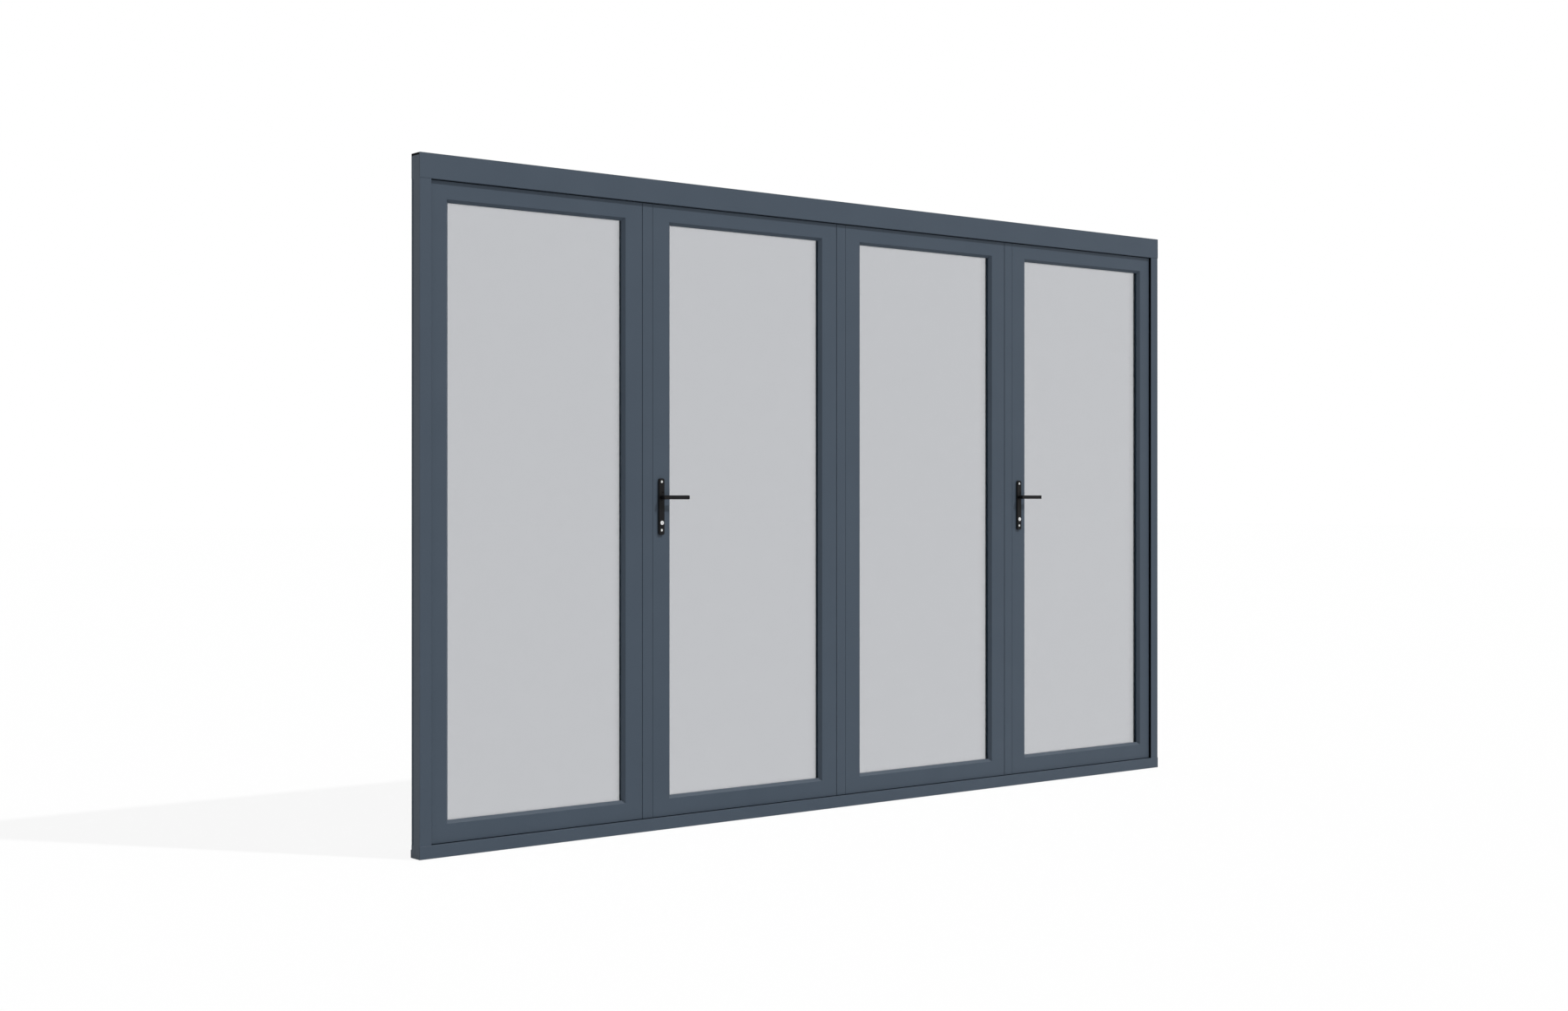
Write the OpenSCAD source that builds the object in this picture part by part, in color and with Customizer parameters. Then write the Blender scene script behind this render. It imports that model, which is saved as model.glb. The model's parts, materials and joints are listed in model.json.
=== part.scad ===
// Four-panel folding glass patio door with two lever handles.
// Millimetres, Z up, photographed face towards -Y.
// The origin is the centre of the sill's underside.

/* [Outer frame] */
// Width of the whole frame
frame_w = 3290; // [2800:10:4000]
// Height of the whole frame
frame_h = 2090; // [1900:10:2500]
// Depth of the frame from front to back
frame_d = 51; // [50:1:70]
// Height of the head's face
head_h = 75; // [60:1:100]
// Height of the sill's face
sill_h = 39; // [32:1:60]
// Width of each jamb's face
jamb_w = 39; // [30:1:60]
// How far the jambs' faces lie behind the head and sill
jamb_setback = 1; // [0.5:0.5:3]
// Thickness of the lip in front of the head's top seal
head_lip_t = 3; // [2:0.5:6]
// Height of the black seal on top of the head
head_seal_h = 7; // [4:0.5:10]
// How far the sill's nose reaches behind the frame
nose_d = 4.5; // [2:0.5:15]
// Height of the sill's nose
nose_h = 24; // [10:1:30]
// Chamfer along the profiles' long edges
arris = 0.8; // [0.4:0.1:0.9]

/* [Grooves] */
// Width of the top track's groove
top_track_w = 14; // [8:1:16]
// Depth of the top track's groove
top_track_d = 22; // [10:1:40]
// Width of the bottom track's groove
bottom_track_w = 10; // [6:1:14]
// Depth of the bottom track's groove
bottom_track_d = 8; // [4:1:15]
// Width of the shadow groove behind the face on the head's and sill's ends
end_groove_w = 1.2; // [0.6:0.2:2]
// Depth of that shadow groove
end_groove_d = 2; // [1:0.5:4]
// Distance of the clip groove in a jamb's outer side from its back
clip_groove_setback = 8; // [5:1:12]
// Width of the clip groove
clip_groove_w = 3; // [2:0.5:4]
// Depth of the clip groove
clip_groove_d = 2; // [1:0.5:4]

/* [Panels] */
// Distance of the panels' faces behind the head's face
sash_setback = 10; // [6:1:11]
// Thickness of each panel's frame
sash_t = 39; // [38:1:39]
// Face width of the stiles beside the jambs
outer_stile_w = 52; // [40:1:70]
// Face width of the stiles beside the meeting strips
mid_stile_w = 63; // [50:1:80]
// Face height of the top rails
top_rail_h = 52; // [40:1:70]
// Face height of the bottom rails
bottom_rail_h = 54; // [40:1:80]
// Gap between the closed panels and the frame
frame_gap = 2; // [1.5:0.5:4]
// Gap between two closed panels
panel_gap = 1.5; // [1:0.5:4]
// Width of the strip where two panels meet
strip_w = 40; // [30:1:50]
// Width of the shadow groove beside a meeting strip
groove_w = 1; // [0.5:0.5:2]
// Depth of the shadow groove
groove_d = 2; // [1:0.5:4]

/* [Glazing] */
// Width of the sloping glazing bead at its tip
bead_w = 11; // [8:0.5:16]
// Width of the bead's flat edge at the panel's face
bead_flat = 1.5; // [1:0.5:3]
// Depth of the glass behind the panel's face
glass_setback = 20; // [16:1:20]
// Depth of the bead's tip behind the panel's face
bead_tip_d = 10; // [6:0.5:14]
// How much narrower than its tip the bead is against the glass
bead_undercut = 2; // [1:0.5:4]
// How far the panel's frame reaches over the back of the glass
lip_w = 4; // [4:0.5:14]
// Width that the lip tapers to at the panel's back
lip_edge_w = 0.5; // [0.5:0.5:3]
// Thickness of each pane of glass
pane_t = 4; // [3:1:4]
// Width of the gap between the two panes
cavity_t = 6; // [4:1:6]
// Room between the glass edge and the panel's frame
glass_clearance = 1; // [1:0.5:3]
// Hairline between mitred bead ends
mitre_gap = 0.3; // [0.2:0.1:0.6]

/* [Weather seals] */
// Depth of a seal, front to back
seal_d = 6; // [4:1:8]
// Distance of the seals behind the panels' faces
seal_setback = 3; // [2:1:4]
// How deep a seal sits in its groove
seal_seat = 2; // [1:0.5:3]
// Thickness of a jamb's lip in front of its seal
jamb_seal_lip = 1.5; // [1:0.5:2.5]
// Gap between the ends of two seals
seal_end_gap = 0.5; // [0.2:0.1:1]

/* [Handles] */
// Height of the lever's axis above the sill's underside
lever_z = 1070; // [900:5:1200]
// Height of a back plate
plate_h = 182; // [170:1:260]
// Width of a back plate
plate_w = 21; // [20:1:30]
// Radius of a back plate's corners
plate_corner_r = 6.5; // [2:0.5:9.5]
// Thickness of a back plate
plate_t = 6; // [4:0.5:8]
// Distance of the plate's middle below the lever's axis
plate_drop = 30; // [10:1:35]
// Distance of the lock cylinder below the lever's axis
cylinder_drop = 82; // [70:1:92]
// Diameter of the lock cylinder
cylinder_dia = 13; // [12:1:17]
// How far the lock cylinder stands out of its plate
cylinder_proud = 2; // [1:0.5:4]
// Length of a lever from its axis to its tip
lever_l = 95; // [70:1:130]
// Height of the lever's bar
lever_bar_h = 13; // [12.5:0.5:16]
// Thickness of the lever's bar
lever_bar_t = 5.5; // [5:0.5:14]
// Distance of the lever bar's middle from the panel's face
lever_reach = 26; // [25:1:55]
// Side of the square spindle
spindle_side = 8; // [6:1:8]
// Depth of the spindle's socket in each lever
socket_d = 15; // [8:1:16]
// Bore for the spindle through the stile
spindle_bore_dia = 16; // [13:1:20]
// Running clearance round a lever's neck
neck_clearance = 0.1; // [0.02:0.02:0.1]
// Room between the neck's end and the stile
neck_end_gap = 0.3; // [0.2:0.1:0.5]
// Fitting clearance round the lock cylinder
cylinder_clearance = 0.1; // [0.02:0.02:0.2]
// Chamfer at the lever's tip
tip_chamfer = 1.5; // [0.5:0.5:3]

/* [Hinges] */
// Length of a hinge barrel
hinge_l = 100; // [70:5:140]
// Diameter of a hinge barrel
hinge_dia = 14; // [10:1:18]
// Width of a hinge leaf
leaf_w = 30; // [22:1:34]
// Thickness of a hinge leaf on the jamb
leaf_t = 3; // [2:0.5:5]
// Distance of the end hinges from the panel's top and bottom
hinge_inset = 190; // [120:5:400]
// Number of hinges on each line
hinge_count = 3; // [2:1:4]

/* [Hidden] */

frame_colour = "#4c5660";
seal_colour = "#15171a";
glass_colour = "#c1c2c6";
handle_colour = "#1c1d20";
metal_colour = "#c9cbce";

// Number of folding panels
panels = 4;
// Slack that lets a cutting shape pass right through
eps = 0.5;
// Facets of small round shapes
fine = 48;

inner_w = frame_w - 2 * jamb_w;
joint_w = 2 * mid_stile_w + panel_gap + strip_w;
joints_w = (panels - 1) * joint_w;
opening_w = (inner_w - 2 * (frame_gap + outer_stile_w) - joints_w) / panels;
sash_bottom = sill_h + frame_gap;
sash_top = frame_h - head_h - frame_gap;
sash_h = sash_top - sash_bottom;
opening_bottom = sash_bottom + bottom_rail_h;
opening_h = sash_h - bottom_rail_h - top_rail_h;
opening_top = opening_bottom + opening_h;
sash_back = sash_setback + sash_t;
glass_back = sash_setback + glass_setback + 2 * pane_t + cavity_t;
track_mid = sash_setback + sash_t / 2;
neck_dia = lever_bar_h;
seal_front = sash_setback + seal_setback;
jamb_seal_front = jamb_setback + jamb_seal_lip;
jamb_h = frame_h - head_h - sill_h;
handle_panels = [2, 4];

// Y of a plane that lies d behind the head's face
function depth(d) = d - frame_d / 2;
// Left edge of panel n's opening, in the panel's face
function opening_x(n) =
    -inner_w / 2 + frame_gap + outer_stile_w + (n - 1) * (opening_w + joint_w);
function left_stile_w(n) = n == 1 ? outer_stile_w : mid_stile_w;
function right_stile_w(n) = n == panels ? outer_stile_w : mid_stile_w;
// Left edge of the gap between panels n and n + 1
function gap_x(n) = opening_x(n) + opening_w + right_stile_w(n);
function strip_x(n) = gap_x(n) + panel_gap;
function handle_x(n) = opening_x(n) - left_stile_w(n) / 2;
function cylinder_z() = lever_z - cylinder_drop;

// Extrudes a section, drawn as depth and height, along X
module along_x(x, length) {
    translate([x, 0, 0]) rotate([90, 0, 90]) linear_extrude(length) children();
}

// A plain bar between two depths
module bar(x, width, front, back, bottom, height) {
    translate([x, depth(front), bottom]) cube([width, back - front, height]);
}

// A round bar that runs from one depth to another
module round_along_y(x, z, dia, front, back) {
    translate([x, depth(front), z]) rotate([-90, 0, 0]) cylinder(d = dia, h = back - front, $fn = fine);
}

// A rectangle with its four corners chamfered
module chamfered(x, y, width, height) {
    polygon([
        [x + arris, y],
        [x + width - arris, y],
        [x + width, y + arris],
        [x + width, y + height - arris],
        [x + width - arris, y + height],
        [x + arris, y + height],
        [x, y + height - arris],
        [x, y + arris]
    ]);
}

// Shadow grooves in both ends of the head or sill
module end_grooves(bottom, height) {
    for (side = [0, 1]) mirror([side, 0, 0])
        bar(frame_w / 2 - end_groove_d, end_groove_d + eps, head_lip_t, head_lip_t + end_groove_w,
            bottom - eps, height + 2 * eps);
}

// Head and sill
module head() {
    bottom = frame_h - head_h;
    color(frame_colour) difference() {
        union() {
            along_x(-frame_w / 2, frame_w) chamfered(depth(0), bottom, frame_d, head_h - head_seal_h);
            bar(-frame_w / 2, frame_w, 0, head_lip_t, bottom + head_h / 2, head_h / 2);
        }
        end_grooves(bottom, head_h);
        bar(-inner_w / 2, inner_w, track_mid - top_track_w / 2, track_mid + top_track_w / 2,
            bottom - eps, top_track_d + eps);
        bar(-inner_w / 2, inner_w, seal_front, seal_front + seal_d, bottom - eps, seal_seat + eps);
    }
}

module head_seal() {
    color(seal_colour)
        bar(-frame_w / 2, frame_w, head_lip_t, frame_d, frame_h - head_seal_h, head_seal_h);
}

module sill() {
    color(frame_colour) difference() {
        union() {
            along_x(-frame_w / 2, frame_w) chamfered(depth(0), 0, frame_d, sill_h);
            along_x(-frame_w / 2, frame_w) chamfered(0, 0, frame_d / 2 + nose_d, nose_h);
        }
        end_grooves(0, sill_h);
        bar(-inner_w / 2, inner_w, track_mid - bottom_track_w / 2, track_mid + bottom_track_w / 2,
            sill_h - bottom_track_d, bottom_track_d + eps);
        bar(-inner_w / 2, inner_w, seal_front, seal_front + seal_d, sill_h - seal_seat, seal_seat + eps);
    }
}

// Jambs, drawn for the left side and mirrored for the right
module jamb() {
    color(frame_colour) translate([-frame_w / 2, depth(0), sill_h]) linear_extrude(jamb_h) difference() {
        chamfered(0, jamb_setback, jamb_w, frame_d - jamb_setback);
        translate([-eps, frame_d - clip_groove_setback - clip_groove_w])
            square([clip_groove_d + eps, clip_groove_w]);
        translate([jamb_w - seal_seat, jamb_seal_front])
            square([seal_seat + eps, seal_front + seal_d - jamb_seal_front]);
    }
}

module left_jamb() {
    jamb();
}

module right_jamb() {
    mirror([1, 0, 0]) jamb();
}

// Black seals in the gaps round the closed panels; the jambs' seals also line the jambs' inner sides
module jamb_seal() {
    translate([-inner_w / 2, depth(0), sill_h]) linear_extrude(jamb_h) polygon([
        [-seal_seat, jamb_seal_front],
        [0, jamb_seal_front],
        [0, seal_front],
        [frame_gap, seal_front],
        [frame_gap, seal_front + seal_d],
        [-seal_seat, seal_front + seal_d]
    ]);
}

module weather_seals() {
    edge = inner_w / 2 - frame_gap - seal_end_gap;
    color(seal_colour) {
        for (side = [0, 1]) mirror([side, 0, 0]) jamb_seal();
        for (bottom = [sill_h - seal_seat, sash_top])
            bar(-edge, 2 * edge, seal_front, seal_front + seal_d, bottom, frame_gap + seal_seat);
        for (n = [1 : panels - 1])
            bar(gap_x(n), panel_gap + seal_seat, seal_front, seal_front + seal_d,
                sash_bottom + seal_end_gap, sash_h - 2 * seal_end_gap);
    }
}

// A block as deep and high as a closed panel, with its outer edges chamfered
module slab(x, width) {
    intersection() {
        along_x(x, width) chamfered(depth(sash_setback), sash_bottom, sash_t, sash_h);
        translate([x, depth(sash_setback), sash_bottom]) linear_extrude(sash_h)
            chamfered(0, 0, width, sash_t);
    }
}

// Section of an opening of the given size behind the glass: distance across it, and depth
function taper(size) = [
    [lip_w, glass_back - eps],
    [lip_w, glass_back],
    [lip_edge_w, sash_back],
    [lip_edge_w, sash_back + eps],
    [size - lip_edge_w, sash_back + eps],
    [size - lip_edge_w, sash_back],
    [size - lip_w, glass_back],
    [size - lip_w, glass_back - eps]
];

// The clear opening behind the glass, which widens towards the panel's back
module back_opening(n) {
    intersection() {
        translate([opening_x(n), 0, opening_bottom]) linear_extrude(opening_h)
            polygon([for (p = taper(opening_w)) [p[0], depth(p[1])]]);
        along_x(opening_x(n), opening_w)
            polygon([for (p = taper(opening_h)) [depth(p[1]), opening_bottom + p[0]]]);
    }
}

// Keeps a member of panel n's frame inside the panel's chamfered outline and outside its opening
module in_panel(n) {
    difference() {
        intersection() {
            slab(opening_x(n) - left_stile_w(n), left_stile_w(n) + opening_w + right_stile_w(n));
            union() children();
        }
        back_opening(n);
    }
}

// Bores through a handle's stile for its spindle and lock cylinder
module handle_bores(n) {
    round_along_y(handle_x(n), lever_z, spindle_bore_dia, sash_setback - eps, sash_back + eps);
    round_along_y(handle_x(n), cylinder_z(), cylinder_dia + 2 * cylinder_clearance,
        sash_setback - eps, sash_back + eps);
}

// Panel frames: each member is a full-depth bar with a lip behind the glass
module left_stile(n) {
    w = left_stile_w(n);
    color(frame_colour) difference() {
        in_panel(n) {
            bar(opening_x(n) - w, w, sash_setback, sash_back, sash_bottom, sash_h);
            bar(opening_x(n) - w, w + lip_w, glass_back, sash_back, opening_bottom, opening_h);
        }
        if (len(search(n, handle_panels)) > 0) handle_bores(n);
    }
}

module right_stile(n) {
    w = right_stile_w(n);
    color(frame_colour) in_panel(n) {
        bar(opening_x(n) + opening_w, w, sash_setback, sash_back, sash_bottom, sash_h);
        bar(opening_x(n) + opening_w - lip_w, w + lip_w, glass_back, sash_back, opening_bottom, opening_h);
    }
}

// A rail lies between the stiles, and its lip between the stiles' lips
module rail(n, bottom, height, lip_bottom) {
    color(frame_colour) in_panel(n) {
        bar(opening_x(n), opening_w, sash_setback, sash_back, bottom, height);
        bar(opening_x(n) + lip_w, opening_w - 2 * lip_w, glass_back, sash_back, lip_bottom, height + lip_w);
    }
}

module top_rail(n) {
    rail(n, opening_top, top_rail_h, opening_top - lip_w);
}

module bottom_rail(n) {
    rail(n, sash_bottom, bottom_rail_h, sash_bottom);
}

// Strip on the left edge of panel n + 1, with a shadow groove against its stile
module meeting_strip(n) {
    groove_x = strip_x(n) + strip_w - groove_w;
    color(frame_colour) difference() {
        slab(strip_x(n), strip_w);
        bar(groove_x, groove_w + eps, sash_setback - eps, sash_setback + groove_d, sash_bottom - eps,
            sash_h + 2 * eps);
        bar(groove_x, groove_w + eps, sash_back - groove_d, sash_back + eps, sash_bottom - eps,
            sash_h + 2 * eps);
        bar(strip_x(n) - eps, seal_seat + eps, seal_front, seal_front + seal_d, sash_bottom + seal_end_gap,
            sash_h - 2 * seal_end_gap);
    }
}

// Sealed glass unit: a front and a back pane
module glass(n) {
    front = sash_setback + glass_setback;
    color(glass_colour) for (d = [front, front + pane_t + cavity_t])
        bar(opening_x(n) + glass_clearance, opening_w - 2 * glass_clearance, d, d + pane_t,
            opening_bottom + glass_clearance, opening_h - 2 * glass_clearance);
}

// Section of a bead: depth behind the panel's face, and height above the rail
module bead_section() {
    polygon([
        [0, 0],
        [glass_setback, 0],
        [glass_setback, bead_w - bead_undercut],
        [bead_tip_d, bead_w],
        [0, bead_flat]
    ]);
}

// One mitred bar of the given length, along X from the origin and up from Z = 0
module bead_bar(length) {
    inset = mitre_gap / 2;
    intersection() {
        along_x(0, length) bead_section();
        translate([0, glass_setback + eps, 0]) rotate([90, 0, 0]) linear_extrude(glass_setback + 2 * eps)
            polygon([
                [inset - eps, -eps],
                [length - inset + eps, -eps],
                [length - inset - bead_w - eps, bead_w + eps],
                [inset + bead_w + eps, bead_w + eps]
            ]);
    }
}

module beads(n) {
    front = depth(sash_setback);
    x = opening_x(n);
    z = opening_bottom;
    color(frame_colour) {
        translate([x, front, z]) bead_bar(opening_w);
        translate([x + opening_w, front, z + opening_h]) rotate([0, 180, 0]) bead_bar(opening_w);
        translate([x + opening_w, front, z]) rotate([0, -90, 0]) bead_bar(opening_h);
        translate([x, front, z + opening_h]) rotate([0, 90, 0]) bead_bar(opening_h);
    }
}

// Outline of a back plate, round its middle
module plate_outline() {
    square([plate_w, plate_h - 2 * plate_corner_r], center = true);
    square([plate_w - 2 * plate_corner_r, plate_h], center = true);
    for (x = [-1, 1], z = [-1, 1])
        translate([x * (plate_w / 2 - plate_corner_r), z * (plate_h / 2 - plate_corner_r)])
            circle(r = plate_corner_r, $fn = fine);
}

// Handle plates, front and back, with bores for the lever's neck and the lock cylinder
module plate(n, front) {
    difference() {
        translate([handle_x(n), depth(front + plate_t), lever_z - plate_drop]) rotate([90, 0, 0])
            linear_extrude(plate_t) plate_outline();
        round_along_y(handle_x(n), lever_z, neck_dia + 2 * neck_clearance, front - eps, front + plate_t + eps);
        round_along_y(handle_x(n), cylinder_z(), cylinder_dia + 2 * cylinder_clearance, front - eps,
            front + plate_t + eps);
    }
}

module handle_plates(n) {
    color(handle_colour) {
        plate(n, sash_setback - plate_t);
        plate(n, sash_back);
    }
}

// Lever in front of the panel, with its neck down to the stile and a square socket
module lever(n) {
    mid = sash_setback - lever_reach;
    neck_end = sash_setback - neck_end_gap;
    color(handle_colour) difference() {
        union() {
            round_along_y(handle_x(n), lever_z, neck_dia, mid - lever_bar_t / 2, neck_end);
            translate([handle_x(n), depth(mid + lever_bar_t / 2), lever_z - lever_bar_h / 2]) rotate([90, 0, 0])
                linear_extrude(lever_bar_t) polygon([
                    [0, 0],
                    [lever_l - tip_chamfer, 0],
                    [lever_l, tip_chamfer],
                    [lever_l, lever_bar_h - tip_chamfer],
                    [lever_l - tip_chamfer, lever_bar_h],
                    [0, lever_bar_h]
                ]);
        }
        translate([handle_x(n) - spindle_side / 2, depth(neck_end - socket_d), lever_z - spindle_side / 2])
            cube([spindle_side, socket_d + eps, spindle_side]);
    }
}

// The back lever mirrors the front one about the panel's middle plane
module back_lever(n) {
    translate([0, 2 * depth(track_mid), 0]) mirror([0, 1, 0]) lever(n);
}

module spindle(n) {
    front = sash_setback - neck_end_gap - socket_d;
    back = sash_back + neck_end_gap + socket_d;
    color(metal_colour)
        bar(handle_x(n) - spindle_side / 2, spindle_side, front, back, lever_z - spindle_side / 2, spindle_side);
}

module lock_cylinder(n) {
    color(metal_colour) round_along_y(handle_x(n), cylinder_z(), cylinder_dia,
        sash_setback - plate_t - cylinder_proud, sash_back + plate_t + cylinder_proud);
}

// Hinges on the back: x is the middle of the gap that they cross
module hinge(x, left_face, right_face) {
    seat = max(left_face, right_face);
    bar(x - leaf_w, leaf_w, left_face, seat + leaf_t, 0, hinge_l);
    bar(x, leaf_w, right_face, seat + leaf_t, 0, hinge_l);
    translate([x, depth(seat + hinge_dia / 2), 0]) cylinder(d = hinge_dia, h = hinge_l, $fn = fine);
}

module hinge_line(x, left_face, right_face) {
    span = sash_h - 2 * hinge_inset - hinge_l;
    for (i = [0 : hinge_count - 1])
        translate([0, 0, sash_bottom + hinge_inset + i * span / (hinge_count - 1)])
            hinge(x, left_face, right_face);
}

module jamb_hinges() {
    x = inner_w / 2 - frame_gap / 2;
    color(frame_colour) {
        hinge_line(-x, frame_d, sash_back);
        hinge_line(x, sash_back, frame_d);
    }
}

module middle_hinges() {
    color(frame_colour) hinge_line(gap_x(2) + panel_gap / 2, sash_back, sash_back);
}

head();
head_seal();
left_jamb();
right_jamb();
sill();
weather_seals();
for (n = [1 : panels]) {
    left_stile(n);
    right_stile(n);
    top_rail(n);
    bottom_rail(n);
    glass(n);
    beads(n);
}
for (n = [1 : panels - 1]) meeting_strip(n);
for (n = handle_panels) {
    handle_plates(n);
    lever(n);
    back_lever(n);
    spindle(n);
    lock_cylinder(n);
}
jamb_hinges();
middle_hinges();
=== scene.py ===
"""Finishes, small fittings and a plain studio for a four-panel folding glass patio door."""

import json
import math

import bmesh
import bpy
from bpy.props import FloatProperty, FloatVectorProperty, PointerProperty
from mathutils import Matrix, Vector


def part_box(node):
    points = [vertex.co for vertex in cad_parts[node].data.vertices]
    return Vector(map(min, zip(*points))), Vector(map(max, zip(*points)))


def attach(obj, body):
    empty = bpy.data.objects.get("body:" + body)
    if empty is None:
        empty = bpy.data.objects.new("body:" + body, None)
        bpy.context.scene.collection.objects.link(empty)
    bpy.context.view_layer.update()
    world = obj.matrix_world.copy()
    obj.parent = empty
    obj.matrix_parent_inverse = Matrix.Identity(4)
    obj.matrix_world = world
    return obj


bl_info = {
    "name": "Folding Glass Patio Door",
    "version": (1, 0, 0),
    "blender": (4, 5, 0),
    "location": "3D View > Sidebar > Patio Door",
    "description": "Finishes, small fittings and a plain studio for a folding glass patio door",
    "category": "Object",
}

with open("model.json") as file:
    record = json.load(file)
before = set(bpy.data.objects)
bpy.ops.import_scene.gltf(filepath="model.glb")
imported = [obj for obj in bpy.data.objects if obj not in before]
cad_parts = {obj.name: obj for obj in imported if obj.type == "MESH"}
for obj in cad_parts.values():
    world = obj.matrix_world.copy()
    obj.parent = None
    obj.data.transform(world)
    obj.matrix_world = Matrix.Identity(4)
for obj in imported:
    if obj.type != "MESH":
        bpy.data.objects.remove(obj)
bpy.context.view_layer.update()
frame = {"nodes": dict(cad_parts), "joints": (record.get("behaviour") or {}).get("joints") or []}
MM = 0.001

# The panels with a handle, and the panels with a pane of glass
HANDLES = (2, 4)
PANELS = (1, 2, 3, 4)
# Sizes of the solids that their boxes don't give
HINGE_LENGTH = 100 * MM
HINGE_DIAMETER = 14 * MM
HINGE_LEAF_WIDTH = 30 * MM
HINGE_LEAF_THICKNESS = 3 * MM
HINGES_PER_LINE = 3
# A piece that sits on a face starts this far inside it, so that no gap shows
SEAT = 0.05 * MM
# Points in a small turned ring
RING_POINTS = 48


def linear(code):
    """An sRGB hex code as a linear colour with full alpha."""
    values = [int(code[i : i + 2], 16) / 255 for i in (1, 3, 5)]
    return tuple(v / 12.92 if v <= 0.04045 else ((v + 0.055) / 1.055) ** 2.4 for v in values) + (1.0,)


def length(name, description, default):
    """A size that a user can change, in metres."""
    return FloatProperty(name=name, description=description, default=default, min=0, unit="LENGTH", precision=4)


def colour(name, description, code):
    """A colour that a user can change, given as sRGB hex."""
    return FloatVectorProperty(
        name=name, description=description, default=linear(code), size=4, min=0, max=1, subtype="COLOR"
    )


class PatioDoorFinish(bpy.types.PropertyGroup):
    """Colours of the door's finishes."""

    profile: colour("Profile coat", "Anthracite powder coat on the frame and panels", "#3d4854")
    profile_shade: colour("Profile coat shade", "Slightly deeper patches of the powder coat", "#3b4652")
    # The same black rubber is also put on the floors of the screw recesses and keyways, as painted shade.
    rubber: colour("Rubber", "Black rubber of the weather seals and small caps", "#06080b")
    # Real gasket rubber, tinted to the blue-grey of the shade on the beads' undercut beside the glass: partly
    # painted shade.
    gasket: colour("Gasket rubber", "Dark blue-grey rubber of the gaskets round the glass", "#2a3641")
    glass: colour("Glass tint", "Light grey tint of the float glass", "#dbdcde")
    handle: colour("Handle coat", "Satin black coat of the handles", "#0c0c0e")
    steel: colour("Steel", "Stainless steel of the screws and lock cylinders", "#eceded")
    spacer: colour("Spacer", "Black plastic of the bars between the panes", "#1b1c1e")


class PatioDoorGlazing(bpy.types.PropertyGroup):
    """Sizes of the gaskets and spacer bars round each pane."""

    bead_width: length("Bead width", "Width of a glazing bead at its tip", 11 * MM)
    bead_undercut: length("Bead undercut", "How much narrower than its tip a bead is at the glass", 2 * MM)
    bead_tip: length("Bead tip", "Distance of a bead's tip in front of the glass", 10 * MM)
    gasket_height: length("Gasket height", "How far the front gasket stands off the glass", 8 * MM)
    gasket_foot: length("Gasket foot", "Width of the front gasket on the glass", 0.8 * MM)
    lip_width: length("Lip width", "Width of the frame's lip against the back of the glass", 4 * MM)
    lip_taper: FloatProperty(name="Lip taper", description="Width that the lip loses for its depth", default=0.7)
    back_gasket_height: length("Back gasket height", "How far the back gasket stands off the glass", 1.6 * MM)
    back_gasket_width: length("Back gasket width", "How far it reaches beyond the lip", 0.15 * MM)
    pane: length("Pane", "Thickness of each pane of glass", 4 * MM)
    spacer_width: length("Spacer width", "Width of a spacer bar, from the glass's edge inwards", 3 * MM)


class PatioDoorFittings(bpy.types.PropertyGroup):
    """Sizes of the screws, caps and other small fittings."""

    screw: length("Screw head", "Diameter of the handle plates' screws", 7.5 * MM)
    screw_above: length("Upper screw", "Height of a plate's upper screw above the lever's axis", 50 * MM)
    screw_below: length("Lower screw", "Distance of a plate's lower screw below the lever's axis", 106 * MM)
    cap: length("Cap", "Diameter of the small cap above each lever", 5 * MM)
    cap_height: length("Cap height", "Height of the cap above the lever's axis", 16 * MM)
    cap_offset: length("Cap offset", "Distance of the cap from the plate's middle", 4.5 * MM)
    key_plug: length("Key plug", "Diameter of the plug in the lock cylinder", 9 * MM)
    leaf_screw: length("Hinge screw", "Diameter of the screws in the hinge leaves", 8 * MM)
    soft_edge: length("Soft edge", "Radius on the edges of levers and plates", 1.2 * MM)


class PatioDoorStudio(bpy.types.PropertyGroup):
    """Camera and light."""

    lens: FloatProperty(name="Lens", description="Focal length in millimetres", default=47.09, min=1)
    ambient: FloatProperty(name="Ambient", description="Level of the light from all sides", default=0.35, min=0)
    key: FloatProperty(name="Key", description="Strength of the light from the upper right", default=2.68, min=0)
    key_size: FloatProperty(
        name="Key size",
        description="Apparent size of the key light, which softens its shadows",
        default=math.radians(1.5),
        subtype="ANGLE",
    )
    floor_share: FloatProperty(
        name="Plain white share",
        description="Share of plain white that lightens the floor and its shadows in the picture",
        default=0.9,
        min=0,
        max=1,
    )


def settings(name):
    """The scene's settings of that name."""
    return getattr(bpy.context.scene, "patio_door_" + name)


# Materials


def pattern(size):
    """Scale of a noise pattern whose patches are about that many millimetres across."""
    return 1 / (size * MM)


def add(material, kind, values=(), links=(), **properties):
    """Adds a node, sets its properties and input values, and links its inputs to other nodes' outputs."""
    node = material.node_tree.nodes.new("ShaderNode" + kind)
    for name, value in properties.items():
        setattr(node, name, value)
    for socket, value in dict(values).items():
        node.inputs[socket].default_value = value
    for socket, output in dict(links).items():
        material.node_tree.links.new(output, node.inputs[socket])
    return node


def new_material(name):
    """An empty node material, with its output node."""
    material = bpy.data.materials.new(name)
    material.use_nodes = True
    material.node_tree.nodes.clear()
    return material, add(material, "OutputMaterial")


def show(material, output, shader):
    material.node_tree.links.new(shader.outputs[0], output.inputs["Surface"])
    return material


def noise(material, size, detail=2.0, roughness=0.5, stretch=(1, 1, 1)):
    """Noise in the object's own space, with patches of that size in millimetres."""
    place = add(material, "TexCoord").outputs["Object"]
    if stretch != (1, 1, 1):
        place = add(material, "Mapping", {"Scale": stretch}, {"Vector": place}).outputs[0]
    return add(
        material,
        "TexNoise",
        {"Scale": pattern(size), "Detail": detail, "Roughness": roughness},
        {"Vector": place},
    ).outputs[0]


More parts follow.
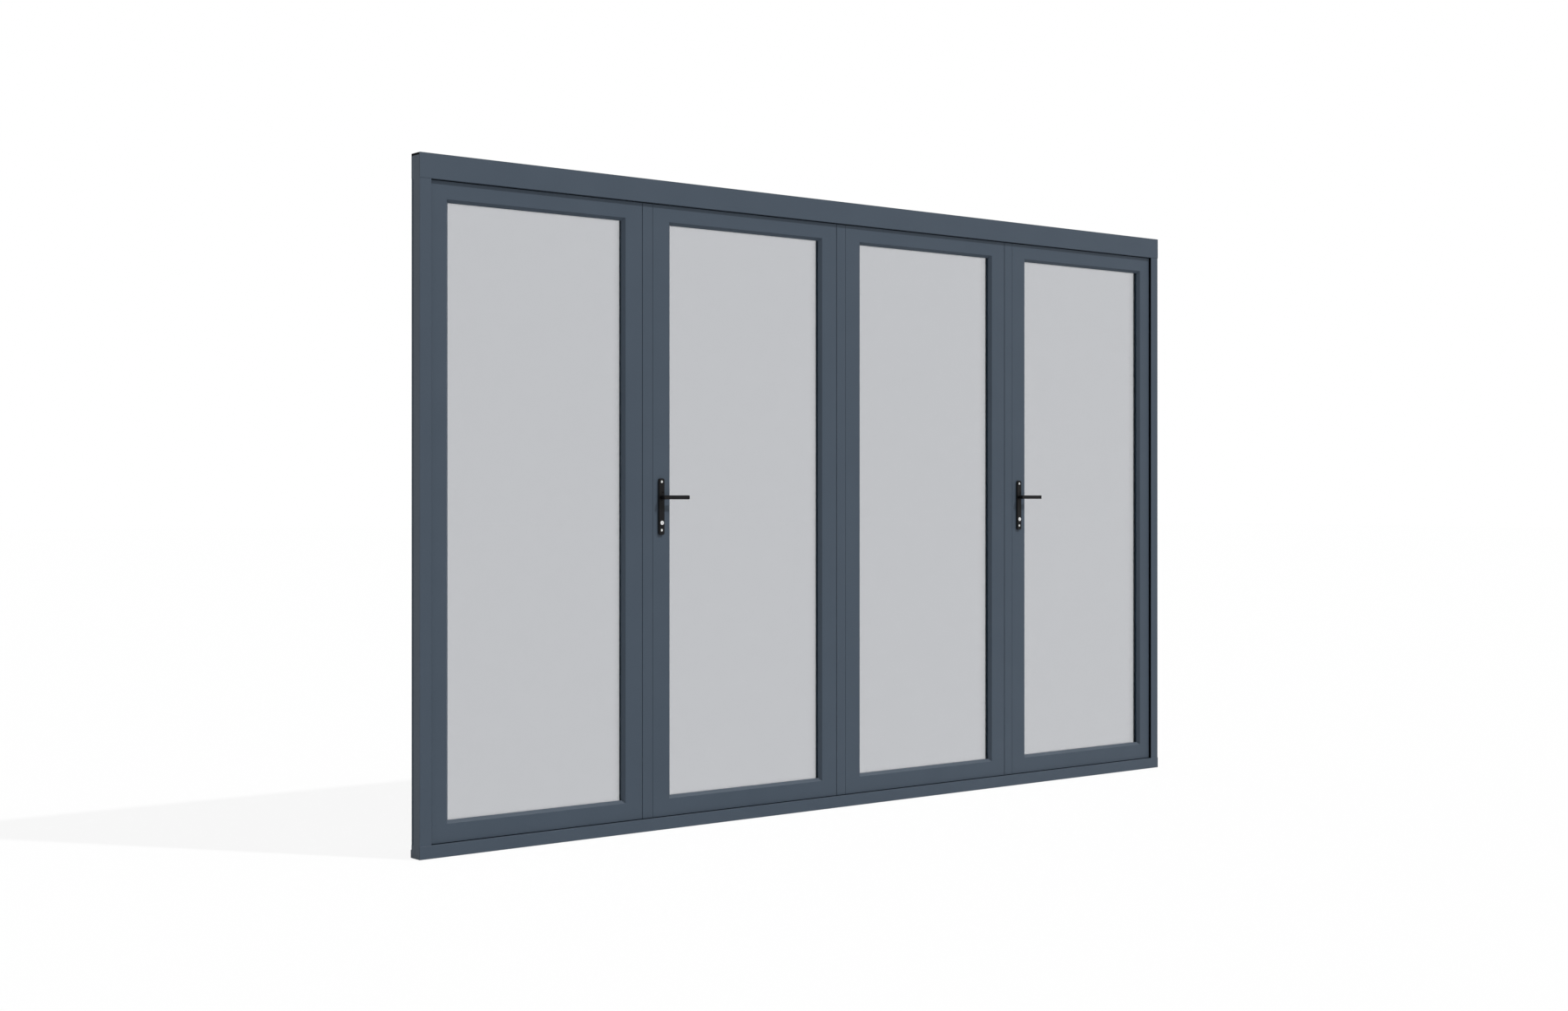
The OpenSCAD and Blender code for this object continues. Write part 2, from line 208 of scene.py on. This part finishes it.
def spread(material, source, low, high):
    """Turns noise into values between low and high."""
    values = {"From Min": 0.3, "From Max": 0.7, "To Min": low, "To Max": high}
    return add(material, "MapRange", values, {"Value": source}).outputs[0]


def blend_colours(material, factor, first, second):
    """Mixes two colours by a factor."""
    node = add(material, "Mix", {6: first, 7: second}, {0: factor}, data_type="RGBA")
    return node.outputs[2]


def bump(material, height, strength, distance):
    values = {"Strength": strength, "Distance": distance}
    return add(material, "Bump", values, {"Height": height}).outputs[0]


def powder_coated_aluminium():
    """Extruded aluminium with a baked polyester powder coat: matt, with a faint orange peel."""
    finish = settings("finish")
    material, output = new_material("powder_coated_aluminium")
    # Faint patches a hand wide, as light catches a coat of uneven thickness
    patches = spread(material, noise(material, 140), 0, 1)
    base = blend_colours(material, patches, finish.profile, finish.profile_shade)
    # The peel is about 1 mm on the real coat, and is drawn at 3 mm so that it shows
    peel = noise(material, 3, detail=3)
    shader = add(
        material,
        "BsdfPrincipled",
        {"IOR": 1.5, "Metallic": 0.0, "Specular IOR Level": 0.25},
        {
            "Base Color": base,
            "Roughness": spread(material, peel, 0.46, 0.54),
            "Normal": bump(material, peel, 0.12, 0.1 * MM),
        },
    )
    return show(material, output, shader)


def extruded_rubber(name, shade):
    """Extruded EPDM rubber: dull and dark, with a dusty, slightly uneven skin."""
    material, output = new_material(name)
    skin = noise(material, 6, detail=3)
    dusty = tuple(min(1, 1.4 * c) for c in shade[:3]) + (1.0,)
    shader = add(
        material,
        "BsdfPrincipled",
        {"IOR": 1.52, "Metallic": 0.0, "Specular IOR Level": 0.03},
        {
            "Base Color": blend_colours(material, spread(material, skin, 0, 1), shade, dusty),
            "Roughness": spread(material, skin, 0.6, 0.75),
            "Normal": bump(material, skin, 0.1, 0.2 * MM),
        },
    )
    return show(material, output, shader)


def black_rubber_and_painted_recess_shade():
    # Real black rubber of seals and caps, and also the painted shade on recess floors.
    return extruded_rubber("epdm_rubber_and_painted_recess_shade", settings("finish").rubber)


def gasket_rubber():
    # The gasket's tint is partly painted shade of the beads' undercut.
    return extruded_rubber("epdm_gasket_rubber_and_painted_shade", settings("finish").gasket)


def tinted_float_glass():
    """Float glass with a light grey tint, perfectly smooth and flat."""
    finish = settings("finish")
    material, output = new_material("tinted_float_glass")
    shader = add(
        material,
        "BsdfPrincipled",
        {
            "Base Color": finish.glass,
            "Roughness": 0.0,
            "IOR": 1.52,
            "Metallic": 0.0,
            "Transmission Weight": 1.0,
        },
    )
    return show(material, output, shader)


def satin_black_coat():
    """Zinc die casting with a satin black coat: soft highlights along its edges."""
    finish = settings("finish")
    material, output = new_material("satin_black_coated_zinc")
    grain = noise(material, 2.5, detail=3)
    warm = tuple(min(1, 1.25 * c) for c in finish.handle[:3]) + (1.0,)
    shader = add(
        material,
        "BsdfPrincipled",
        {"IOR": 1.5, "Metallic": 0.0, "Specular IOR Level": 0.15},
        {
            "Base Color": blend_colours(material, spread(material, grain, 0, 1), finish.handle, warm),
            "Roughness": spread(material, grain, 0.36, 0.44),
            "Normal": bump(material, grain, 0.08, 0.1 * MM),
        },
    )
    return show(material, output, shader)


def brushed_steel():
    """Stainless steel with a fine turned finish: bright, with soft streaks."""
    finish = settings("finish")
    material, output = new_material("brushed_stainless_steel")
    # The brush lines are about 0.1 mm apart, and are drawn at 0.8 mm so that they show close up
    lines = noise(material, 0.8, detail=2, stretch=(1, 1, 0.15))
    dull = tuple(0.88 * c for c in finish.steel[:3]) + (1.0,)
    shader = add(
        material,
        "BsdfPrincipled",
        {"Metallic": 1.0},
        {
            "Base Color": blend_colours(material, spread(material, lines, 0, 1), finish.steel, dull),
            "Roughness": spread(material, lines, 0.24, 0.34),
        },
    )
    return show(material, output, shader)


def spacer_plastic():
    """Matt black plastic of the spacer bars between the panes, with a faint grain."""
    finish = settings("finish")
    material, output = new_material("matt_black_spacer_plastic")
    grain = noise(material, 4)
    shader = add(
        material,
        "BsdfPrincipled",
        {"Base Color": finish.spacer, "IOR": 1.46, "Metallic": 0.0},
        {"Roughness": spread(material, grain, 0.5, 0.62)},
    )
    return show(material, output, shader)


MAKERS = {
    "powder_coated_aluminium": powder_coated_aluminium,
    "epdm_rubber_and_painted_recess_shade": black_rubber_and_painted_recess_shade,
    "epdm_gasket_rubber_and_painted_shade": gasket_rubber,
    "tinted_float_glass": tinted_float_glass,
    "satin_black_coated_zinc": satin_black_coat,
    "brushed_stainless_steel": brushed_steel,
    "matt_black_spacer_plastic": spacer_plastic,
}


def finish(name):
    """The material of that name, made when it is first asked for."""
    return bpy.data.materials.get(name) or MAKERS[name]()


def finish_of(node):
    """The name of the material for a solid of the door."""
    if node.startswith("glass"):
        return "tinted_float_glass"
    if "seal" in node:
        return "epdm_rubber_and_painted_recess_shade"
    if "plates" in node or "lever" in node:
        return "satin_black_coated_zinc"
    if "spindle" in node or "cylinder" in node:
        return "brushed_stainless_steel"
    return "powder_coated_aluminium"


# Mesh helpers


def skin(mesh, rings, closed=False):
    """Joins neighbouring rings of points with faces, and the last ring to the first where closed."""
    following = rings[1:] + rings[:1] if closed else rings[1:]
    for ring, after in zip(rings, following):
        for i in range(len(ring)):
            j = (i + 1) % len(ring)
            mesh.faces.new((ring[i], ring[j], after[j], after[i]))


def sweep_round(mesh, low, high, profile):
    """Sweeps a closed profile round an upright rectangle, mitred at its corners.

    Each point of the profile is its distance inwards from the rectangle and its Y.
    """
    corners = ((low.x, low.z, 1, 1), (high.x, low.z, -1, 1), (high.x, high.z, -1, -1), (low.x, high.z, 1, -1))
    rings = [
        [mesh.verts.new((x + side * inset, y, z + up * inset)) for inset, y in profile]
        for x, z, side, up in corners
    ]
    skin(mesh, rings, closed=True)


def turn(mesh, centre, axis, rings, points=RING_POINTS, painted_shade_floor=None):
    """Builds a turned piece from rings along an axis, closed at both ends.

    Each ring is its distance along the axis and its radius, which may be a function of the angle.
    The optional material index goes on the last ring's face, the floor of a recess, to paint shade there.
    """
    axis = Vector(axis).normalized()
    side = Vector((1, 0, 0))
    across = axis.cross(side)
    made = []
    for along, radius in rings:
        ring = []
        for i in range(points):
            angle = 2 * math.pi * i / points
            r = radius(angle) if callable(radius) else radius
            place = Vector(centre) + axis * along + (side * math.cos(angle) + across * math.sin(angle)) * r
            ring.append(mesh.verts.new(place))
        made.append(ring)
    skin(mesh, made)
    mesh.faces.new(list(reversed(made[0])))
    last = mesh.faces.new(made[-1])
    # The recess floor gets a dark material: painted shade.
    if painted_shade_floor is not None:
        last.material_index = painted_shade_floor


def cross(arm, width):
    """Radius of a cross-shaped recess, by angle."""

    def radius(angle):
        c, s = max(abs(math.cos(angle)), 1e-6), max(abs(math.sin(angle)), 1e-6)
        half = width / 2
        return max(min(arm / c, half / s), min(half / c, arm / s))

    return radius


def slot_shape(half_height, half_width):
    """Radius of an upright slot, by angle."""

    def radius(angle):
        c, s = max(abs(math.cos(angle)), 1e-6), max(abs(math.sin(angle)), 1e-6)
        return min(half_width / c, half_height / s)

    return radius


def screw_head(mesh, centre, axis, diameter, points=RING_POINTS):
    """A raised countersunk head with a cross recess, whose floor is painted dark as painted shade."""
    r = diameter / 2
    turn(
        mesh,
        centre,
        axis,
        [
            (-SEAT, r),
            (0.12 * r, r),
            (0.24 * r, 0.84 * r),
            (0.3 * r, cross(0.6 * r, 0.26 * r)),
            (0.06 * r, cross(0.5 * r, 0.2 * r)),
        ],
        points,
        painted_shade_floor=1,
    )


def piece(name, mesh, materials, body, smooth=math.radians(40)):
    """Makes an object from a mesh under construction, with its materials, and lets it ride on a body."""
    bmesh.ops.recalc_face_normals(mesh, faces=mesh.faces)
    data = bpy.data.meshes.new(name)
    mesh.to_mesh(data)
    mesh.free()
    data.shade_smooth()
    data.set_sharp_from_angle(angle=smooth)
    for material in materials:
        data.materials.append(finish(material))
    made = bpy.data.objects.new(name, data)
    bpy.context.scene.collection.objects.link(made)
    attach(made, body)
    return made


def lever_axis(panel):
    """Where a handle's lever turns, from its joint."""
    for joint in frame["joints"]:
        if joint["name"] == f"handle_{panel}_turn":
            return Vector(joint["pos_m"])
    raise RuntimeError(f"handle {panel} has no joint")


# Operators


class PATIODOOR_OT_finishes(bpy.types.Operator):
    """Give every solid of the door its real finish"""

    bl_idname = "patio_door.finishes"
    bl_label = "Finishes"

    def execute(self, context):
        for name, solid in frame["nodes"].items():
            material = finish(finish_of(name))
            if not solid.material_slots:
                solid.data.materials.append(material)
            for place in solid.material_slots:
                place.material = material
        return {"FINISHED"}


class PATIODOOR_OT_soft_edges(bpy.types.Operator):
    """Round the edges of the levers and their plates a little, as on a casting"""

    bl_idname = "patio_door.soft_edges"
    bl_label = "Soft Edges"

    def execute(self, context):
        radius = settings("fittings").soft_edge
        for name, solid in frame["nodes"].items():
            if "lever" not in name and "plates" not in name:
                continue
            weld = solid.modifiers.new("Weld", "WELD")
            weld.merge_threshold = 0.01 * MM
            bevel = solid.modifiers.new("Soft edge", "BEVEL")
            bevel.width = radius
            bevel.segments = 3
            bevel.limit_method = "ANGLE"
            bevel.angle_limit = math.radians(40)
            bevel.harden_normals = True
        return {"FINISHED"}


class PATIODOOR_OT_gaskets(bpy.types.Operator):
    """Lay the rubber gaskets round each pane, in front and behind"""

    bl_idname = "patio_door.gaskets"
    bl_label = "Glazing Gaskets"

    def execute(self, context):
        sizes = settings("glazing")
        for panel in PANELS:
            low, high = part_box(f"beads_{panel}")
            mesh = bmesh.new()
            sweep_round(mesh, low, high, self.front_section(sizes, high.y))
            sweep_round(mesh, low, high, self.back_section(sizes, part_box(f"glass_{panel}")[1].y))
            piece(f"gaskets_{panel}", mesh, ["epdm_gasket_rubber_and_painted_shade"], "frame")
        return {"FINISHED"}

    def front_section(self, sizes, glass):
        """A gasket that lies against the undercut of the bead and ends on the glass; its tinted rubber also
        paints the shade on that undercut.
        """
        foot = sizes.bead_width - sizes.bead_undercut
        tall = sizes.gasket_height
        top = foot + sizes.bead_undercut * tall / sizes.bead_tip
        return (
            (top - SEAT, glass - tall),
            (top + 0.2 * sizes.gasket_foot, glass - 0.97 * tall),
            (foot + sizes.gasket_foot, glass - SEAT),
            (foot - SEAT, glass - SEAT),
        )

    def back_section(self, sizes, glass):
        """A small gasket in the corner between the glass and the frame's lip."""
        tall = sizes.back_gasket_height
        reach = sizes.lip_width + sizes.back_gasket_width
        return (
            (sizes.lip_width - SEAT, glass + SEAT),
            (reach, glass + SEAT),
            (reach - 0.2 * sizes.back_gasket_width, glass + 0.6 * tall),
            (sizes.lip_width - SEAT - sizes.lip_taper * tall, glass + tall),
        )


class PATIODOOR_OT_spacers(bpy.types.Operator):
    """Set the spacer bars between the two panes of each glass unit"""

    bl_idname = "patio_door.spacers"
    bl_label = "Spacer Bars"

    def execute(self, context):
        sizes = settings("glazing")
        for panel in PANELS:
            low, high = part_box(f"glass_{panel}")
            front = low.y + sizes.pane + SEAT
            back = high.y - sizes.pane - SEAT
            inside = sizes.spacer_width
            groove = 0.12 * sizes.spacer_width
            mesh = bmesh.new()
            profile = (
                (SEAT, front),
                (inside, front),
                (inside, front + 0.3 * (back - front)),
                (inside - groove, 0.5 * (front + back)),
                (inside, back - 0.3 * (back - front)),
                (inside, back),
                (SEAT, back),
            )
            sweep_round(mesh, low, high, profile)
            piece(f"spacers_{panel}", mesh, ["matt_black_spacer_plastic"], "frame")
        return {"FINISHED"}


class PATIODOOR_OT_plate_fittings(bpy.types.Operator):
    """Add the screws, the key plugs and the small caps of the handle plates"""

    bl_idname = "patio_door.plate_fittings"
    bl_label = "Plate Fittings"

    def execute(self, context):
        sizes = settings("fittings")
        for panel in HANDLES:
            low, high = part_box(f"handle_{panel}_plates")
            barrel_low, barrel_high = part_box(f"handle_{panel}_lock_cylinder")
            middle = (low + high) / 2
            key = (barrel_low + barrel_high) / 2
            axis = lever_axis(panel)
            screws, plugs, caps = bmesh.new(), bmesh.new(), bmesh.new()
            for face, barrel_face, way in ((low.y, barrel_low.y, -1), (high.y, barrel_high.y, 1)):
                out = (0, way, 0)
                for up in (sizes.screw_above, -sizes.screw_below):
                    place = (middle.x, face, axis.z + up)
                    screw_head(screws, place, out, sizes.screw)
                self.key_plug(plugs, (key.x, barrel_face, key.z), out, sizes.key_plug)
                self.cap(caps, (middle.x + sizes.cap_offset, face, axis.z + sizes.cap_height), out, sizes.cap)
            # The rubber here paints the floors of the recesses dark: painted shade.
            steel = ["brushed_stainless_steel", "epdm_rubber_and_painted_recess_shade"]
            piece(f"handle_{panel}_screws", screws, steel, "frame")
            piece(f"handle_{panel}_key_plugs", plugs, steel, "frame")
            piece(f"handle_{panel}_caps", caps, ["epdm_rubber_and_painted_recess_shade"], "frame")
        return {"FINISHED"}

    def key_plug(self, mesh, centre, out, diameter):
        """The turning plug in a lock cylinder's end, with its keyway, whose floor is painted dark as painted
        shade.
        """
        r = diameter / 2
        rings = [
            (-SEAT, r),
            (0.4 * MM, r),
            (0.6 * MM, 0.94 * r),
            (0.6 * MM, slot_shape(0.72 * r, 0.16 * r)),
            (0.1 * MM, slot_shape(0.7 * r, 0.14 * r)),
        ]
        turn(mesh, centre, out, rings, painted_shade_floor=1)

    def cap(self, mesh, centre, out, diameter):
        """A small push-in cap over a screw."""
        r = diameter / 2
        turn(mesh, centre, out, [(-SEAT, r), (0.3 * MM, r), (0.5 * MM, 0.85 * r), (0.55 * MM, 0.4 * r)])


class PATIODOOR_OT_hinge_fittings(bpy.types.Operator):
    """Add the bushes, pin caps and leaf screws of the hinges on the back"""

    bl_idname = "patio_door.hinge_fittings"
    bl_label = "Hinge Fittings"

    def execute(self, context):
        sizes = settings("fittings")
        bushes, caps, screws = bmesh.new(), bmesh.new(), bmesh.new()
        jamb_low, jamb_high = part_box("jamb_hinges")
        mid_low, mid_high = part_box("middle_hinges")
        lines = (
            (jamb_low.x + HINGE_LEAF_WIDTH, jamb_low, jamb_high),
            ((mid_low.x + mid_high.x) / 2, mid_low, mid_high),
            (jamb_high.x - HINGE_LEAF_WIDTH, jamb_low, jamb_high),
        )
        for x, low, high in lines:
            step = (high.z - low.z - HINGE_LENGTH) / (HINGES_PER_LINE - 1)
            for i in range(HINGES_PER_LINE):
                foot = low.z + i * step
                self.barrel(bushes, caps, x, high.y - HINGE_DIAMETER / 2, foot)
                face = high.y - HINGE_DIAMETER + HINGE_LEAF_THICKNESS
                self.leaves(screws, x, face, foot, sizes.leaf_screw)
        piece("hinge_bushes", bushes, ["epdm_rubber_and_painted_recess_shade"], "frame")
        piece("hinge_pin_caps", caps, ["powder_coated_aluminium"], "frame")
        # The rubber here paints the floors of the recesses dark: painted shade.
        steel = ["brushed_stainless_steel", "epdm_rubber_and_painted_recess_shade"]
        piece("hinge_screws", screws, steel, "frame")
        return {"FINISHED"}

    def barrel(self, bushes, caps, x, y, foot):
        """Bushes between the three knuckles, and a domed cap at each end of the pin."""
        r = HINGE_DIAMETER / 2
        for share in (1 / 3, 2 / 3):
            place = (x, y, foot + share * HINGE_LENGTH)
            rings = [(-0.9 * MM, 0.99 * r), (-0.9 * MM, 1.05 * r), (0.9 * MM, 1.05 * r), (0.9 * MM, 0.99 * r)]
            turn(bushes, place, (0, 0, 1), rings)
        for z, way in ((foot, -1), (foot + HINGE_LENGTH, 1)):
            rings = [(-SEAT, 0.9 * r), (1.2 * MM, 0.86 * r), (2.2 * MM, 0.66 * r), (2.7 * MM, 0.3 * r)]
            turn(caps, (x, y, z), (0, 0, way), rings)

    def leaves(self, screws, x, face, foot, diameter):
        """Three screws in each leaf."""
        for side in (-1, 1):
            for share in (0.16, 0.5, 0.84):
                place = (x + side * 0.66 * HINGE_LEAF_WIDTH, face, foot + share * HINGE_LENGTH)
                screw_head(screws, place, (0, 1, 0), diameter, points=24)


class PATIODOOR_OT_studio(bpy.types.Operator):
    """Set up the camera, the white surroundings and the light"""

    bl_idname = "patio_door.studio"
    bl_label = "Studio"

    CAMERA = (-4.625, -5.394, 1.0755)
    CAMERA_YAW = math.radians(39.10)
    # The photograph's horizon lies 11.3 of its 1800 pixels above its middle
    CAMERA_RISE = -11.3 / 1800
    KEY_DIRECTION = (-0.72, 1.0, -1.4)
    FLOOR_SIZE = 120.0
    FLOOR_GAP = 0.5 * MM
    FLOOR_ALBEDO = linear("#fcfcfc")

    def execute(self, context):
        studio = settings("studio")
        self.camera(context, studio)
        self.surroundings(context, studio)
        self.floor(context, studio)
        self.key_light(context, studio)
        context.scene.view_settings.view_transform = "Standard"
        return {"FINISHED"}

    def camera(self, context, studio):
        lens = bpy.data.cameras.new("camera")
        lens.lens = studio.lens
        lens.sensor_width = 36
        lens.shift_y = self.CAMERA_RISE
        eye = bpy.data.objects.new("camera", lens)
        eye.location = self.CAMERA
        eye.rotation_euler = (math.radians(90), 0, -self.CAMERA_YAW)
        context.scene.collection.objects.link(eye)
        context.scene.camera = eye

    def surroundings(self, context, studio):
        """Level light from all sides, seen as plain white by the camera, in gloss and through glass."""
        world = bpy.data.worlds.new("white_surroundings")
        world.use_nodes = True
        world.node_tree.nodes.clear()
        context.scene.world = world
        level = add(world, "Background", {"Color": (1, 1, 1, 1), "Strength": studio.ambient})
        white = add(world, "Background", {"Color": (1, 1, 1, 1), "Strength": 1.0})
        path = add(world, "LightPath").outputs
        seen = add(world, "Math", links={0: path["Is Camera Ray"], 1: path["Is Glossy Ray"]}, use_clamp=True)
        seen = add(world, "Math", links={0: seen.outputs[0], 1: path["Is Transmission Ray"]}, use_clamp=True)
        mixed = add(world, "MixShader", links={0: seen.outputs[0], 1: level.outputs[0], 2: white.outputs[0]})
        add(world, "OutputWorld", links={"Surface": mixed.outputs[0]})

    def floor(self, context, studio):
        mesh = bmesh.new()
        half = self.FLOOR_SIZE / 2
        corners = ((-half, -half), (half, -half), (half, half), (-half, half))
        mesh.faces.new([mesh.verts.new((x, y, -self.FLOOR_GAP)) for x, y in corners])
        data = bpy.data.meshes.new("floor")
        mesh.to_mesh(data)
        mesh.free()
        data.materials.append(self.floor_material(studio))
        floor = bpy.data.objects.new("floor", data)
        context.scene.collection.objects.link(floor)

    def floor_material(self, studio):
        """White floor: it keeps a pale shadow in the picture and is plain white through glass."""
        material, output = new_material("white_studio_floor")
        matt = add(material, "BsdfDiffuse", {"Color": self.FLOOR_ALBEDO})
        white = add(material, "Emission", {"Color": (1, 1, 1, 1), "Strength": 1.0})
        path = add(material, "LightPath").outputs
        seen = add(material, "Math", links={0: path["Is Camera Ray"], 1: path["Is Glossy Ray"]}, use_clamp=True)
        share = add(
            material,
            "Math",
            {1: studio.floor_share, 2: 0.0},
            {0: seen.outputs[0]},
            operation="MULTIPLY",
        )
        seen = add(
            material,
            "Math",
            links={0: share.outputs[0], 1: path["Is Transmission Ray"]},
            use_clamp=True,
        )
        mixed = add(material, "MixShader", links={0: seen.outputs[0], 1: matt.outputs[0], 2: white.outputs[0]})
        return show(material, output, mixed)

    def key_light(self, context, studio):
        light = bpy.data.lights.new("key", "SUN")
        light.energy = studio.key
        light.angle = studio.key_size
        key = bpy.data.objects.new("key", light)
        key.rotation_mode = "QUATERNION"
        key.rotation_quaternion = Vector(self.KEY_DIRECTION).to_track_quat("-Z", "Y")
        context.scene.collection.objects.link(key)


OPERATORS = (
    PATIODOOR_OT_finishes,
    PATIODOOR_OT_soft_edges,
    PATIODOOR_OT_gaskets,
    PATIODOOR_OT_spacers,
    PATIODOOR_OT_plate_fittings,
    PATIODOOR_OT_hinge_fittings,
    PATIODOOR_OT_studio,
)


class PATIODOOR_PT_panel(bpy.types.Panel):
    """Lists the steps that finish the door."""

    bl_idname = "PATIODOOR_PT_panel"
    bl_label = "Patio Door"
    bl_space_type = "VIEW_3D"
    bl_region_type = "UI"
    bl_category = "Patio Door"

    def draw(self, context):
        for operator in OPERATORS:
            self.layout.operator(operator.bl_idname)


GROUPS = {
    "patio_door_finish": PatioDoorFinish,
    "patio_door_glazing": PatioDoorGlazing,
    "patio_door_fittings": PatioDoorFittings,
    "patio_door_studio": PatioDoorStudio,
}


def register():
    for made in (*GROUPS.values(), *OPERATORS, PATIODOOR_PT_panel):
        bpy.utils.register_class(made)
    for name, group in GROUPS.items():
        setattr(bpy.types.Scene, name, PointerProperty(type=group))


def unregister():
    for name in GROUPS:
        delattr(bpy.types.Scene, name)
    for made in reversed((*GROUPS.values(), *OPERATORS, PATIODOOR_PT_panel)):
        bpy.utils.unregister_class(made)


def main():
    """Registers the add-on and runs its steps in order."""
    register()
    bpy.ops.patio_door.finishes()
    bpy.ops.patio_door.soft_edges()
    bpy.ops.patio_door.gaskets()
    bpy.ops.patio_door.spacers()
    bpy.ops.patio_door.plate_fittings()
    bpy.ops.patio_door.hinge_fittings()
    bpy.ops.patio_door.studio()


if __name__ == "__main__":
    main()
